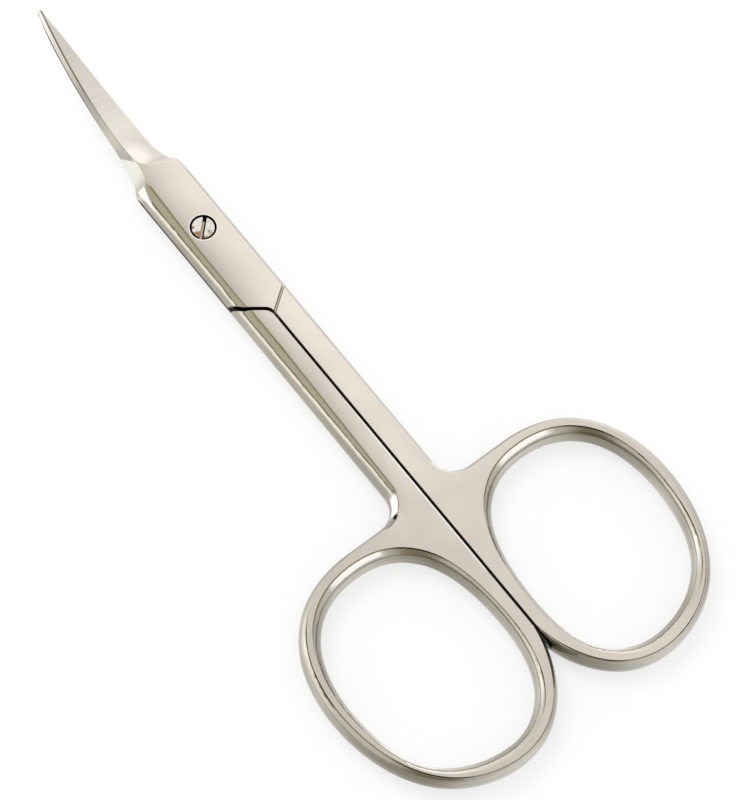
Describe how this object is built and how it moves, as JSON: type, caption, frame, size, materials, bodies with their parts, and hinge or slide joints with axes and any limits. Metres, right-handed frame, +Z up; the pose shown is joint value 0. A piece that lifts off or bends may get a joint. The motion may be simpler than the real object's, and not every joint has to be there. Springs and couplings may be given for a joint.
{
  "type": "manicure scissors",
  "caption": "Manicure scissors with slim upward-curved blades, flat plated shanks, oval finger bows and a slotted pivot screw.",
  "frame": {"origin": "centre of the bounding box of the closed scissors, on the flat face that they lie on", "axes": "+Y along the closed scissors from the finger bows to the blade tips, +Z up, the way the blades curve, +X to the side of the upper half's bow"},
  "size_m": [0.0422, 0.09, 0.0079],
  "materials": {
    "nickel_plate": "warm nickel plate, satin flat faces and polished flanks",
    "screw_steel": "bright polished nickel plate"
  },
  "bodies": {
    "lower": {"lower_half": "nickel_plate", "pivot_screw": "screw_steel"},
    "upper": {"upper_half": "nickel_plate"}
  },
  "joints": [
    {"name": "pivot", "type": "hinge", "parent": "lower", "child": "upper", "pos_m": [0, 0.0174, 0], "axis": [0, 0, 1], "range_deg": [0, 140]}
  ]
}
